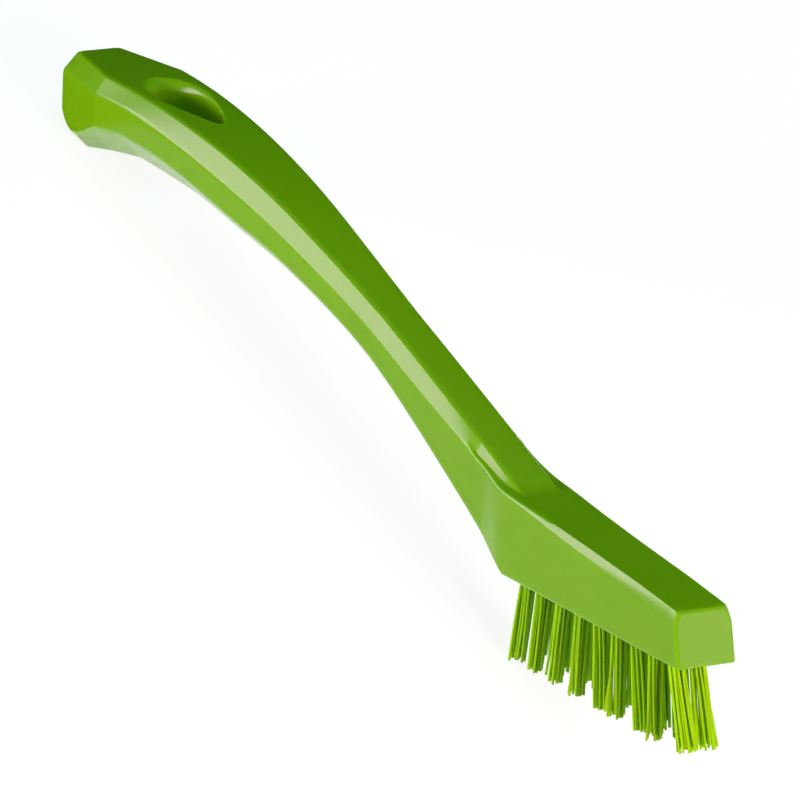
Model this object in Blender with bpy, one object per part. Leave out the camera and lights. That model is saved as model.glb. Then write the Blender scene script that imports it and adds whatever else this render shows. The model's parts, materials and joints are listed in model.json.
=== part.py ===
"""Scrub brush: a faceted green handle moulded in one piece with a narrow head block, a hanging hole
through the grip, and eighteen bristle tufts held in blind holes by steel anchors.

The brush is drawn along its head: X runs to the front of the head, Y across, Z up from the face that
carries the bristles, with the drawing's origin in the middle of that face's front edge. An empty then
tips the whole brush back to the way it rests, on its rear bristles and the heel of the grip, with the
middle of its length over the scene's origin.
"""

import math

import bmesh
import bpy
from mathutils import Matrix, Vector

# Overall
OVERALL_LENGTH = 0.205
NECK_WIDTH = 0.0102
GRIP_WIDTH = 0.0188

# Head block
HEAD_LENGTH = 0.0528
HEAD_FRONT_WIDTH = 0.0107
HEAD_REAR_WIDTH = 0.0118
HEAD_FRONT_HEIGHT = 0.00875
HEAD_TOP_ANGLE = math.radians(5.23)
HEAD_END_LEAN = math.radians(15.0)
HEAD_END_RADIUS = 0.0007
HEAD_END_ZONE = 0.013
HEAD_EDGE_ROUNDING = 0.0013
HEAD_SIDE_ROUNDING = 0.0022
HEAD_LOWER_EDGE = 0.00045

# Top line of the handle, from the head back to the tail
HANDLE_MEET = 0.0517
HANDLE_RISE_ANGLE = math.radians(21.5)
SHOULDER_ANGLE = math.radians(17.62)
TAIL_ANGLE = math.radians(0.89)
HANDLE_ARC_RADIUS = 1.118
SHOULDER_ARC_RADIUS = 0.2286

# Cross sections of the handle
NECK_TOP_WIDTH = 0.00655
GRIP_TOP_WIDTH = 0.0145
NECK_CHAMFER = 0.0028
MIDDLE_CHAMFER = 0.0031
GRIP_CHAMFER = 0.0025
NECK_DEPTH = 0.0091
GRIP_DEPTH = 0.01205
NECK_LOWER_CHAMFER = 0.00245
GRIP_LOWER_CHAMFER = 0.0045
TAIL_LOWER_CHAMFER = 0.0023
CORNER_ROUNDING = 0.0006
TOP_ROUNDING_SHARE = 0.7
CREASE_ROUNDING_SHARE = 0.4
ROUNDING_LIMIT = 0.42
TOP_BLEND = 0.0006
EDGE_BLEND = 0.0003
CREASE_LOW_SHARE = 0.15
CREASE_HIGH_SHARE = 0.62

# Where the sections change, measured back from the front of the head
NECK_IN_LENGTH = 0.0095
GRIP_START = 0.098
GRIP_DEEPENS = 0.112
GRIP_DEEPEST = 0.182
CHAMFER_MIDDLE = 0.14
LOWER_CHAMFER_WIDENS = 0.138
LOWER_CHAMFER_WIDEST = 0.17
LOWER_CHAMFER_LIMIT = 0.45
GRIP_SWELL = 0.8
TOP_TAPER_SHARE = 0.7
UNDERSIDE_ANGLE = math.radians(28.7)
UNDERSIDE_BLEND = 0.0036
SHOULDER_TOP_ANGLE = math.radians(17.1)
SHOULDER_TOP_START = 0.0554

# Tail of the grip, measured forward from its end face
TAIL_TAPER_LENGTH = 0.0168
TAIL_SIDE_TAPER = 0.0145
TAIL_END_WIDTH = 0.0138
TAIL_END_TOP_WIDTH = 0.0080
TAIL_END_CHAMFER = 0.0030
HEEL_START = 0.0265
HEEL_DROP = 0.0029
HEEL_RISE = 0.0064
HEEL_REACH = 0.0084
SIDE_HEEL_SHARE = 0.6
TAIL_EDGE_RADIUS = 0.0006

# Hanging hole, an egg with its point toward the head
HOLE_LENGTH = 0.0275
HOLE_HALF_WIDTH = 0.0052
HOLE_EGG = 0.43
HOLE_FROM_TAIL = 0.0180
HOLE_LIP_RADIUS = 0.0022
HOLE_LOWER_LIP_RADIUS = 0.0008

# Bristles
TUFTS_PER_ROW = 9
ROW_SPACING = 0.0039
FIRST_TUFT = 0.0065
LAST_TUFT_MARGIN = 0.0023
TUFT_FAN_ANGLE = math.radians(12.0)
BRISTLE_REACH = 0.015
STRAND_WIDTH = 0.0003
STRAND_PITCH = 0.00042
STRAND_RINGS = 2
TUFT_SPREAD = 1.35
TUFT_HOLE_DIAMETER = 0.0026
TUFT_HOLE_DEPTH = 0.006
REST_CUT = 0.0005

# Anchors that hold the folded tufts in their holes
ANCHOR_HEIGHT = 0.0012
ANCHOR_THICKNESS = 0.00035
ANCHOR_COVER = 0.0008

# Gap kept between pieces that touch
CLEARANCE = 0.0003


def smoothstep(value):
    """Ease from 0 to 1 with level ends."""
    value = min(max(value, 0.0), 1.0)
    return value * value * (3.0 - 2.0 * value)


def blend_max(first, second, width):
    """The larger of two heights, with a fillet where they cross."""
    share = max(width - abs(first - second), 0.0) / width
    return max(first, second) + share * share * width / 4.0


def blend_min(first, second, width):
    """The smaller of two heights, with a fillet where they cross."""
    return -blend_max(-first, -second, width)


def head_top(back):
    """Height of the head's flat top at a distance back from the front edge."""
    return HEAD_FRONT_HEIGHT + math.tan(HEAD_TOP_ANGLE) * back


def top_line(back):
    """Height and slope of the handle's top line at a distance back from the front edge."""
    run = back - HANDLE_MEET
    height = head_top(HANDLE_MEET)
    slope = HANDLE_RISE_ANGLE
    if run <= 0.0:
        return height + math.tan(slope) * run, slope
    for radius, end_slope in (
        (HANDLE_ARC_RADIUS, SHOULDER_ANGLE),
        (SHOULDER_ARC_RADIUS, TAIL_ANGLE),
    ):
        length = radius * (math.sin(slope) - math.sin(end_slope))
        here = min(run, length)
        turned = math.asin(math.sin(slope) - here / radius)
        height += radius * (math.cos(turned) - math.cos(slope))
        slope = turned
        run -= here
        if run <= 0.0:
            return height, slope
    return height + math.tan(slope) * run, slope


def grip_share(back):
    """How far the handle has swelled from neck to grip, 0 to 1."""
    end = OVERALL_LENGTH - TAIL_TAPER_LENGTH
    return min(max((back - GRIP_START) / (end - GRIP_START), 0.0), 1.0)


def tail_share(back, length):
    """How far along a taper of the tail a section lies, 0 to 1."""
    return min(max((back - (OVERALL_LENGTH - length)) / length, 0.0), 1.0)


def side_half_width(back):
    """Half width over the side faces."""
    if back < HEAD_LENGTH:
        share = back / HEAD_LENGTH
        return (HEAD_FRONT_WIDTH + (HEAD_REAR_WIDTH - HEAD_FRONT_WIDTH) * share) / 2.0
    share = smoothstep((back - HEAD_LENGTH) / NECK_IN_LENGTH)
    neck = HEAD_REAR_WIDTH + (NECK_WIDTH - HEAD_REAR_WIDTH) * share
    width = neck + (GRIP_WIDTH - neck) * smoothstep(grip_share(back) ** GRIP_SWELL)
    return (width + (TAIL_END_WIDTH - width) * tail_share(back, TAIL_SIDE_TAPER)) / 2.0


def top_half_width(back):
    """Half width of the top face."""
    share = grip_share(back)
    share = TOP_TAPER_SHARE * share + (1.0 - TOP_TAPER_SHARE) * smoothstep(share)
    width = NECK_TOP_WIDTH + (GRIP_TOP_WIDTH - NECK_TOP_WIDTH) * share
    return (width + (TAIL_END_TOP_WIDTH - width) * tail_share(back, TAIL_TAPER_LENGTH)) / 2.0


def upper_chamfer(back):
    """Height of the upper chamfer, square to the top line."""
    share = smoothstep((back - GRIP_START) / (CHAMFER_MIDDLE - GRIP_START))
    height = NECK_CHAMFER + (MIDDLE_CHAMFER - NECK_CHAMFER) * share
    end = OVERALL_LENGTH - TAIL_TAPER_LENGTH
    share = smoothstep((back - CHAMFER_MIDDLE) / (end - CHAMFER_MIDDLE))
    height += (GRIP_CHAMFER - MIDDLE_CHAMFER) * share
    return height + (TAIL_END_CHAMFER - height) * tail_share(back, TAIL_TAPER_LENGTH)


def grip_depth(back):
    """Depth of the handle below its top line, square to that line."""
    share = smoothstep((back - GRIP_DEEPENS) / (GRIP_DEEPEST - GRIP_DEEPENS))
    depth = NECK_DEPTH + (GRIP_DEPTH - NECK_DEPTH) * share
    heel = (back - (OVERALL_LENGTH - HEEL_START)) / (HEEL_START - HEEL_REACH)
    return depth + HEEL_DROP * min(max(heel, 0.0), 1.0)


def lower_chamfer(back):
    """Height of the lower chamfer, square to the top line."""
    if back <= HEAD_LENGTH:
        return HEAD_LOWER_EDGE
    opening = smoothstep((back - HEAD_LENGTH) / (GRIP_START - HEAD_LENGTH))
    neck = HEAD_LOWER_EDGE + (NECK_LOWER_CHAMFER - HEAD_LOWER_EDGE) * opening
    run = LOWER_CHAMFER_WIDEST - LOWER_CHAMFER_WIDENS
    share = smoothstep((back - LOWER_CHAMFER_WIDENS) / run)
    grip = neck + (GRIP_LOWER_CHAMFER - NECK_LOWER_CHAMFER) * share
    taper = (back - (OVERALL_LENGTH - TAIL_TAPER_LENGTH)) / (TAIL_TAPER_LENGTH - HEEL_REACH)
    return grip + (TAIL_LOWER_CHAMFER - grip) * min(max(taper, 0.0), 1.0)


def heel_curve(back, height, reach):
    """Height of a lower edge where it rounds up into the end face, over the given reach."""
    run = back - (OVERALL_LENGTH - reach)
    if run <= 0.0:
        return height
    level = top_line(OVERALL_LENGTH - HEEL_RISE)[0] - GRIP_DEPTH - HEEL_DROP + HEEL_RISE
    lift = 1.0 - math.sqrt(max(1.0 - (run / reach) ** 2, 0.0))
    return height + (level - height) * lift


def corners(back):
    """Corners of the right half of a cross section, from the top face down to the bottom face.

    Each is half width, height, and how far its rounding reaches before and after it. The second lies
    on the upper chamfer, where the handle runs down into the flat top of the head.
    """
    line, slope = top_line(back)
    steep = math.cos(slope)
    half = side_half_width(back)
    top_half = top_half_width(back)
    width = half - top_half
    ridge = blend_max(line, head_top(back), TOP_BLEND)

    chamfer = upper_chamfer(back)
    shoulder = head_top(SHOULDER_TOP_START)
    shoulder += math.tan(SHOULDER_TOP_ANGLE) * (back - SHOULDER_TOP_START)
    block = blend_max(head_top(back), shoulder, TOP_BLEND)
    edge = line - chamfer / steep
    if back < GRIP_START:
        edge = min(blend_max(edge, block, EDGE_BLEND), ridge)

    reach = (ridge - edge) * steep * width / chamfer
    inner = min(max(reach, CREASE_LOW_SHARE * width), CREASE_HIGH_SHARE * width)
    crease = edge
    if reach > CREASE_HIGH_SHARE * width:
        crease = ridge - inner * (ridge - edge) / width
    if reach < CREASE_LOW_SHARE * width:
        crease = min(edge, ridge)

    lower = lower_chamfer(back)
    underside = line - grip_depth(back) / steep
    side_foot = underside + lower / steep
    if back <= HEAD_LENGTH:
        side_foot = HEAD_LOWER_EDGE
        underside = 0.0
    else:
        rising = HEAD_LOWER_EDGE + math.tan(UNDERSIDE_ANGLE) * (back - HEAD_LENGTH)
        side_foot = blend_min(side_foot, rising, UNDERSIDE_BLEND)
        underside = side_foot - lower / steep
    underside = heel_curve(back, underside, HEEL_REACH)
    side_foot = heel_curve(back, side_foot, SIDE_HEEL_SHARE * HEEL_REACH)

    forward = 1.0 - min(back / HEAD_LENGTH, 1.0)
    small = CORNER_ROUNDING
    over = small + (HEAD_EDGE_ROUNDING - small) * forward
    beside = small + (HEAD_SIDE_ROUNDING - small) * forward
    foot = min(small, lower)
    return [
        (top_half, ridge, TOP_ROUNDING_SHARE * small, TOP_ROUNDING_SHARE * small),
        (top_half + inner, crease, CREASE_ROUNDING_SHARE * small, CREASE_ROUNDING_SHARE * small),
        (half, edge, over, beside),
        (half, side_foot, foot, foot),
        (half - min(lower, LOWER_CHAMFER_LIMIT * half), underside, foot, foot),
    ]


def rounded(points):
    """Points of the right half outline, each corner turned by three points of a curve."""
    chain = [Vector((0.0, points[0][1]))]
    chain += [Vector(point[:2]) for point in points]
    chain.append(Vector((0.0, points[-1][1])))
    outline = [chain[0]]
    for index in range(1, len(chain) - 1):
        here = chain[index]
        before = chain[index - 1] - here
        after = chain[index + 1] - here
        start = here + before.normalized() * min(points[index - 1][2], ROUNDING_LIMIT * before.length)
        end = here + after.normalized() * min(points[index - 1][3], ROUNDING_LIMIT * after.length)
        outline.append(start)
        outline.append((start + 2.0 * here + end) / 4.0)
        outline.append(end)
    outline.append(chain[-1])
    return outline


def ring(back, inset=0.0):
    """One closed cross section, drawn in by an inset for a rounded end, as points in space."""
    half = rounded(corners(back))
    low = half[-1].y
    height = half[0].y - low
    wide = max(point.x for point in half)
    narrow = (wide - inset) / wide
    kept = (height - 2.0 * inset) / height
    half = [Vector((point.x * narrow, low + inset + (point.y - low) * kept)) for point in half]
    loop = [(point.x, point.y) for point in half]
    loop += [(-point.x, point.y) for point in reversed(half[1:-1])]
    lean = math.tan(HEAD_END_LEAN) * (1.0 - min(back / HEAD_END_ZONE, 1.0))
    return [Vector((-back - lean * up, across, up)) for across, up in loop]


def stations():
    """Distances back from the front edge at which cross sections are drawn."""
    tail = OVERALL_LENGTH
    keys = [
        (HEAD_END_RADIUS, 0.0),
        (HEAD_END_ZONE, 0.0045),
        (HANDLE_MEET - 0.004, 0.012),
        (HEAD_LENGTH, 0.0012),
        (HEAD_LENGTH + NECK_IN_LENGTH, 0.0016),
        (GRIP_START, 0.0042),
        (tail - HEEL_START, 0.0065),
        (tail - TAIL_TAPER_LENGTH, 0.0032),
        (tail - HEEL_REACH, 0.0036),
    ]
    places = [keys[0][0]]
    for (start, _), (end, step) in zip(keys, keys[1:]):
        count = max(int(math.ceil((end - start) / step - 1e-6)), 1)
        places += [start + (end - start) * number / count for number in range(1, count + 1)]
    for number in range(1, 6):
        turn = number / 5.0 * math.pi / 2.0
        reach = (HEEL_REACH - TAIL_EDGE_RADIUS) * math.sin(turn)
        places.append(tail - HEEL_REACH + reach)
    return places


def loft(name, rings):
    """A closed mesh skinned over rings of equal point counts."""
    mesh = bpy.data.meshes.new(name)
    work = bmesh.new()
    rows = [[work.verts.new(point) for point in points] for points in rings]
    count = len(rows[0])
    for first, second in zip(rows, rows[1:]):
        for index in range(count):
            after = (index + 1) % count
            work.faces.new((first[index], first[after], second[after], second[index]))
    caps = [work.faces.new(rows[0]), work.faces.new(rows[-1])]
    bmesh.ops.poke(work, faces=caps)
    bmesh.ops.recalc_face_normals(work, faces=work.faces)
    work.to_mesh(mesh)
    work.free()
    return mesh


def material(name, colour, roughness, metallic=0.0):
    """A plain surface with its colour, roughness and metallic value."""
    surface = bpy.data.materials.new(name)
    surface.use_nodes = True
    shader = surface.node_tree.nodes["Principled BSDF"]
    shader.inputs["Base Color"].default_value = (*colour, 1.0)
    shader.inputs["Roughness"].default_value = roughness
    shader.inputs["Metallic"].default_value = metallic
    return surface


def place(name, mesh, collection, parent, surface=None, matrix=None):
    """Put a mesh in the scene as one named object of the brush."""
    item = bpy.data.objects.new(name, mesh)
    collection.objects.link(item)
    item.parent = parent
    if matrix is not None:
        item.matrix_basis = matrix
    if surface is not None:
        mesh.materials.append(surface)
    return item


def guide(item):
    """Mark an object as a cutter that is not part of the brush."""
    item.hide_render = True
    item.display_type = "WIRE"


def cut(item, cutter, operation="DIFFERENCE"):
    """Cut an object with another, or join the other to it."""
    step = item.modifiers.new(cutter.name, "BOOLEAN")
    step.operation = operation
    step.solver = "EXACT"
    step.object = cutter


def shade(item, angle=math.radians(30.0)):
    """Shade an object smooth apart from its sharp edges."""
    item.data.shade_smooth()
    item.data.set_sharp_from_angle(angle=angle)


def block_mesh():
    """The moulded handle and head before their holes are made."""
    rings = []
    for number in range(3):
        turn = (2 - number) / 3.0 * math.pi / 2.0 + math.pi / 6.0
        inset = HEAD_END_RADIUS * (1.0 - math.cos(turn))
        rings.append(ring(HEAD_END_RADIUS * (1.0 - math.sin(turn)), inset))
    places = stations()
    rings += [ring(back) for back in places]
    for number in range(1, 4):
        turn = number / 3.0 * math.pi / 2.0
        inset = TAIL_EDGE_RADIUS * (1.0 - math.cos(turn))
        level = places[-1]
        points = ring(level, inset)
        reach = TAIL_EDGE_RADIUS * math.sin(turn)
        rings.append([Vector((point.x - reach, point.y, point.z)) for point in points])
    return loft("handle_block", rings)


def egg(margin, count=32):
    """The hanging hole's outline, drawn in by a margin."""
    long_half = HOLE_LENGTH / 2.0 - margin
    wide_half = HOLE_HALF_WIDTH - margin
    points = []
    for number in range(count):
        turn = 2.0 * math.pi * number / count
        across = wide_half * math.sin(turn) * (1.0 - HOLE_EGG * math.cos(turn))
        points.append((long_half * math.cos(turn), across))
    return points


def hole_mesh():
    """Cutter for the hanging hole, with a rounded lip at the top and a small one below."""
    back = OVERALL_LENGTH - HOLE_FROM_TAIL - HOLE_LENGTH / 2.0
    centre, slope = top_line(back)
    depth = (centre - corners(back)[-1][1]) * math.cos(slope)
    lip = HOLE_LIP_RADIUS
    foot = HOLE_LOWER_LIP_RADIUS
    levels = [(lip, -1.46 * lip)]
    for turn in (60.0, 40.0, 20.0, 0.0):
        angle = math.radians(turn)
        levels.append((-lip * (1.0 - math.sin(angle)), lip * math.cos(angle)))
    for turn in (0.0, 30.0, 55.0):
        angle = math.radians(turn)
        levels.append((-depth + foot * (1.0 - math.sin(angle)), lip + foot * (math.cos(angle) - 1.0)))
    levels.append((-depth - foot, lip - 1.9 * foot))
    rings = []
    for level, margin in levels:
        outline = egg(margin)
        rings.append([Vector((along, across, level)) for along, across in outline])
    matrix = Matrix.Translation((-back, 0.0, centre)) @ Matrix.Rotation(slope, 4, "Y")
    return loft("hanging_hole", rings), matrix


def tuft_places():
    """Name, mouth and lean of every tuft."""
    last = HEAD_LENGTH - LAST_TUFT_MARGIN
    pitch = (last - FIRST_TUFT) / (TUFTS_PER_ROW - 1)
    middle = (TUFTS_PER_ROW - 1) / 2.0
    places = []
    for side, sign in (("right", -1.0), ("left", 1.0)):
        for number in range(TUFTS_PER_ROW):
            back = FIRST_TUFT + pitch * number
            lean = TUFT_FAN_ANGLE * (middle - number) / middle
            mouth = Vector((-back, sign * ROW_SPACING / 2.0, 0.0))
            places.append((f"{side}_{number + 1}", mouth, lean))
    return places


def tuft_matrix(mouth, lean):
    """Frame of one tuft: origin at its hole's mouth, Z up into the block."""
    return Matrix.Translation(mouth) @ Matrix.Rotation(-lean, 4, "Y")


def cylinder(name, radius, bottom, top, sides):
    """A capped cylinder along Z."""
    mesh = bpy.data.meshes.new(name)
    work = bmesh.new()
    made = bmesh.ops.create_cone(
        work,
        cap_ends=True,
        segments=sides,
        radius1=radius,
        radius2=radius,
        depth=top - bottom,
    )
    bmesh.ops.translate(work, verts=made["verts"], vec=(0.0, 0.0, (top + bottom) / 2.0))
    work.to_mesh(mesh)
    work.free()
    return mesh


def box(name, size, centre):
    """A closed box."""
    mesh = bpy.data.meshes.new(name)
    work = bmesh.new()
    made = bmesh.ops.create_cube(work, size=1.0)
    bmesh.ops.scale(work, verts=made["verts"], vec=size)
    bmesh.ops.translate(work, verts=made["verts"], vec=centre)
    work.to_mesh(mesh)
    work.free()
    return mesh


def strand_places():
    """Strands of one tuft on a hexagonal pattern, from the middle out."""
    places = [Vector((0.0, 0.0, 0.0))]
    for circle in range(1, STRAND_RINGS + 1):
        for side in range(6):
            start = Matrix.Rotation(math.radians(60.0 * side), 3, "Z") @ Vector((1.0, 0.0, 0.0))
            end = Matrix.Rotation(math.radians(60.0 * (side + 1)), 3, "Z") @ Vector((1.0, 0.0, 0.0))
            for step in range(circle):
                places.append(STRAND_PITCH * (start * (circle - step) + end * step))
    return places


def strands_mesh(name, matrix, floor_point, floor_normal):
    """The strands of one tuft, trimmed level and cut flat where the brush rests on them."""
    trim_point = Vector((0.0, 0.0, -BRISTLE_REACH))
    trim_normal = Vector((0.0, 0.0, 1.0))
    planes = [(trim_point, trim_normal), (floor_point, floor_normal)]
    inverse = matrix.inverted()
    root = 0.4 * CLEARANCE
    half = STRAND_WIDTH / 2.0
    mesh = bpy.data.meshes.new(name)
    work = bmesh.new()
    for centre in strand_places():
        tip = centre * TUFT_SPREAD
        tip.z = -BRISTLE_REACH
        along = (tip - centre).normalized()
        made = bmesh.ops.create_cube(work, size=1.0)["verts"]
        for vert in made:
            corner = Vector((vert.co.x * 2.0 * half, vert.co.y * 2.0 * half, 0.0)) + centre
            begin = matrix @ corner
            heading = matrix.to_3x3() @ along
            if vert.co.z > 0.0:
                vert.co = corner - along * root / -along.z
                continue
            reach = min((point - begin).dot(normal) / heading.dot(normal) for point, normal in planes)
            vert.co = inverse @ (begin + heading * reach)
    work.to_mesh(mesh)
    work.free()
    return mesh


def rooted_plug(cutters, parent):
    """The folded root of a tuft with the tunnel that its anchor lies in."""
    radius = TUFT_HOLE_DIAMETER / 2.0 - CLEARANCE
    top = TUFT_HOLE_DEPTH - CLEARANCE
    plug = place("plug", cylinder("plug", radius, 0.0, top, 12), cutters, parent)
    height = ANCHOR_HEIGHT + 2.0 * CLEARANCE
    size = (TUFT_HOLE_DIAMETER + CLEARANCE, ANCHOR_THICKNESS + 2.0 * CLEARANCE, height)
    centre = (0.0, 0.0, top - ANCHOR_COVER - height / 2.0)
    tunnel = place("tunnel", box("tunnel", size, centre), cutters, parent)
    cut(plug, tunnel)
    graph = bpy.context.evaluated_depsgraph_get()
    graph.update()
    mesh = bpy.data.meshes.new_from_object(plug.evaluated_get(graph))
    bpy.data.objects.remove(plug)
    bpy.data.objects.remove(tunnel)
    return mesh


def rest_plane(mesh):
    """The level that the brush rests on, through its cut rear bristles and the heel of the grip."""
    name, mouth, lean = tuft_places()[TUFTS_PER_ROW - 1]
    frame = tuft_matrix(mouth, lean)
    outer = -max(spot.x for spot in strand_places()) - STRAND_WIDTH / 2.0
    start = frame @ Vector((outer, 0.0, 0.0))
    end = frame @ Vector((outer * TUFT_SPREAD, 0.0, -BRISTLE_REACH))
    reach = (-BRISTLE_REACH - start.z) / (end.z - start.z)
    tip = start + (end - start) * reach
    foot = Vector((tip.x, 0.0, tip.z + REST_CUT))
    tail = [vert.co for vert in mesh.vertices if vert.co.x < -(OVERALL_LENGTH - HEEL_START)]
    pitch = min(math.atan2(spot.z - foot.z, foot.x - spot.x) for spot in tail)
    normal = Vector((math.sin(pitch), 0.0, math.cos(pitch)))
    return foot, normal, pitch


def move_to_middle(parent, items):
    """Move the brush so that the middle of its length is over the origin."""
    bpy.context.view_layer.update()
    along = [(item.matrix_world @ vert.co).x for item in items for vert in item.data.vertices]
    parent.location.x -= (min(along) + max(along)) / 2.0


def build():
    """Model every piece of the brush."""
    for item in list(bpy.data.objects):
        bpy.data.objects.remove(item)
    scene = bpy.context.scene
    brush = bpy.data.collections.new("scrub_brush")
    cutters = bpy.data.collections.new("cutters")
    scene.collection.children.link(brush)
    scene.collection.children.link(cutters)

    green = material("green_polypropylene", (0.27, 0.50, 0.045), 0.32)
    fibre = material("green_filament", (0.30, 0.55, 0.01), 0.42)
    steel = material("stainless_wire", (0.62, 0.61, 0.58), 0.30, 1.0)

    rest = bpy.data.objects.new("rest", None)
    brush.objects.link(rest)

    mesh = block_mesh()
    foot, normal, pitch = rest_plane(mesh)
    rest.rotation_euler = (0.0, -pitch, 0.0)
    rest.location = (0.0, 0.0, -foot.dot(normal))

    block = place("handle_block", mesh, brush, rest, green)
    shade(block)
    hole_cutter, matrix = hole_mesh()
    hole = place("hanging_hole", hole_cutter, cutters, rest, None, matrix)
    guide(hole)
    cut(block, hole)

    sockets = bpy.data.meshes.new("tuft_holes")
    work = bmesh.new()
    for name, mouth, lean in tuft_places():
        drill = cylinder("drill", TUFT_HOLE_DIAMETER / 2.0, -0.002, TUFT_HOLE_DEPTH, 16)
        drill.transform(tuft_matrix(mouth, lean))
        work.from_mesh(drill)
        bpy.data.meshes.remove(drill)
    work.to_mesh(sockets)
    work.free()
    drills = place("tuft_holes", sockets, cutters, rest)
    guide(drills)
    cut(block, drills)

    plug = rooted_plug(cutters, rest)
    top = TUFT_HOLE_DEPTH - CLEARANCE
    level = top - ANCHOR_COVER - CLEARANCE - ANCHOR_HEIGHT / 2.0
    length = TUFT_HOLE_DIAMETER - 2.0 * CLEARANCE
    size = (length, ANCHOR_THICKNESS, ANCHOR_HEIGHT)
    clip = box("anchor", size, (0.0, 0.0, level))
    clip.materials.append(steel)
    spread = [block]
    for name, mouth, lean in tuft_places():
        matrix = tuft_matrix(mouth, lean)
        tuft = place("tuft_" + name, plug.copy(), brush, rest, fibre, matrix)
        strands = strands_mesh("strands_" + name, matrix, foot, normal)
        cutter = place("strands_" + name, strands, cutters, rest, None, matrix)
        guide(cutter)
        cut(tuft, cutter, "UNION")
        spread.append(cutter)
        place("anchor_" + name, clip, brush, rest, None, matrix)
    bpy.data.meshes.remove(plug)
    move_to_middle(rest, spread)


build()
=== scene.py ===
"""Scrub brush: the visual model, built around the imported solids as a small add-on.

Each operator makes one piece, or one group of like pieces, and the panel lists them in order. The moulding
and the bristles are drawn along the head, as the solids are: X to the front of the head, Y across, Z up
from the face that carries the bristles, with the origin in the middle of that face's front edge.
rest_matrix() then tips them back onto the floor, read from the record's mount on the head.
"""

import json
import math
import random

import bmesh
import bpy
from mathutils import Matrix, Vector


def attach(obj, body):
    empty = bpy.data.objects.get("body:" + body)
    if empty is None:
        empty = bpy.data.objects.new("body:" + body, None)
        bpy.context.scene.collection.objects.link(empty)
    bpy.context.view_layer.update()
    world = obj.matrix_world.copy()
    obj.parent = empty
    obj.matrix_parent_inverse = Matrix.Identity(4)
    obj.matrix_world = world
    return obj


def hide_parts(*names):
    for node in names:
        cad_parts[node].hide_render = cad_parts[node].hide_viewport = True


bl_info = {
    "name": "Scrub Brush",
    "version": (1, 0, 0),
    "blender": (4, 5, 0),
    "location": "View3D > Sidebar > Scrub Brush",
    "description": "Builds a narrow scrub brush with a faceted handle and two rows of bristle tufts",
    "category": "Object",
}

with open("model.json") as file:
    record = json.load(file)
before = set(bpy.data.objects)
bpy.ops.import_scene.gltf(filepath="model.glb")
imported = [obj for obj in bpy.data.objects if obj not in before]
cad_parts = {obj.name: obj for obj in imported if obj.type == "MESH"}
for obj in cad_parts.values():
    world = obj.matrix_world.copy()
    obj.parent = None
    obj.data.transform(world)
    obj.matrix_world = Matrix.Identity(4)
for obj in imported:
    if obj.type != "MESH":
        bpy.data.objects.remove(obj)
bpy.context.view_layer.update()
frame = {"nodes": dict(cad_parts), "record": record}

# Whole brush, from the front edge of the head to the end of the tail
LENGTH = 0.205

# Head block
HEAD_LENGTH = 0.0528
HEAD_FRONT_WIDTH = 0.0107
HEAD_REAR_WIDTH = 0.0118
HEAD_FRONT_HEIGHT = 0.00875
HEAD_TOP_ANGLE = math.radians(5.23)
HEAD_END_LEAN = math.radians(15.0)
HEAD_END_ZONE = 0.013
HEAD_LOWER_EDGE = 0.00025

# How far back from the front edge the record's mount on the flat top lies
MOUNT_BACK = 0.025

# Top line of the handle
HANDLE_MEET = 0.0517
HANDLE_RISE_ANGLE = math.radians(21.5)
SHOULDER_ANGLE = math.radians(17.62)
TAIL_ANGLE = math.radians(0.89)
HANDLE_ARC_RADIUS = 1.118
SHOULDER_ARC_RADIUS = 0.2286

# Cross sections of the handle
NECK_WIDTH = 0.0102
NECK_IN_LENGTH = 0.0095
GRIP_WIDTH = 0.0188
NECK_TOP_WIDTH = 0.00655
GRIP_TOP_WIDTH = 0.0145
NECK_CHAMFER = 0.0028
MIDDLE_CHAMFER = 0.0031
GRIP_CHAMFER = 0.0025
NECK_DEPTH = 0.0091
GRIP_DEPTH = 0.01205
NECK_LOWER_CHAMFER = 0.00245
GRIP_LOWER_CHAMFER = 0.0045
TAIL_LOWER_CHAMFER = 0.0023
TOP_BLEND = 0.0006
EDGE_BLEND = 0.0003
CREASE_LOW_SHARE = 0.15
CREASE_HIGH_SHARE = 0.62
GRIP_START = 0.098
CHAMFER_MIDDLE = 0.14
CHAMFER_FLARES = 0.1765
CHAMFER_FLARE = 0.0007
GRIP_DEEPENS = 0.112
GRIP_DEEPEST = 0.182
LOWER_CHAMFER_WIDENS = 0.138
LOWER_CHAMFER_WIDEST = 0.17
LOWER_CHAMFER_LIMIT = 0.45
GRIP_SWELL = 0.8
TOP_TAPER_SHARE = 0.7
UNDERSIDE_ANGLE = math.radians(28.7)
UNDERSIDE_BLEND = 0.0036
SHOULDER_TOP_ANGLE = math.radians(17.1)
SHOULDER_TOP_START = 0.0554

# Tail of the grip
TAIL_TAPER_LENGTH = 0.0168
TAIL_END_WIDTH = 0.0138
TAIL_END_TOP_WIDTH = 0.0080
TAIL_END_CHAMFER = 0.0030
HEEL_START = 0.0265
HEEL_DROP = 0.0029
HEEL_RISE = 0.0064
HEEL_REACH = 0.0084
SIDE_HEEL_SHARE = 0.6
TAIL_EDGE_RADIUS = 0.0006

# Roundings of the long corners, as shares of the corner rounding in the panel: down the side, over the
# head's top, what the handle's top has more, below the top, and at the crease in the upper chamfer
SIDE_ROUNDING = 1.2
HEAD_TOP_ROUNDING = 0.5
HANDLE_TOP_ROUNDING = 1.5
BELOW_TOP_ROUNDING = 0.7
CREASE_ROUNDING = 0.4

# Run over which the handle's top edges soften, the largest share of a face that one rounding takes, and
# the steps in which a rounding turns
TOP_ROUNDING_RUN = 0.006
ROUNDING_LIMIT = 0.45
ROUNDING_STEPS = 4

# How flat the head's upper edge gets toward its front, and how soon it does
FACET_FLATNESS = 0.8
FACET_ONSET = 3.0

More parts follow.
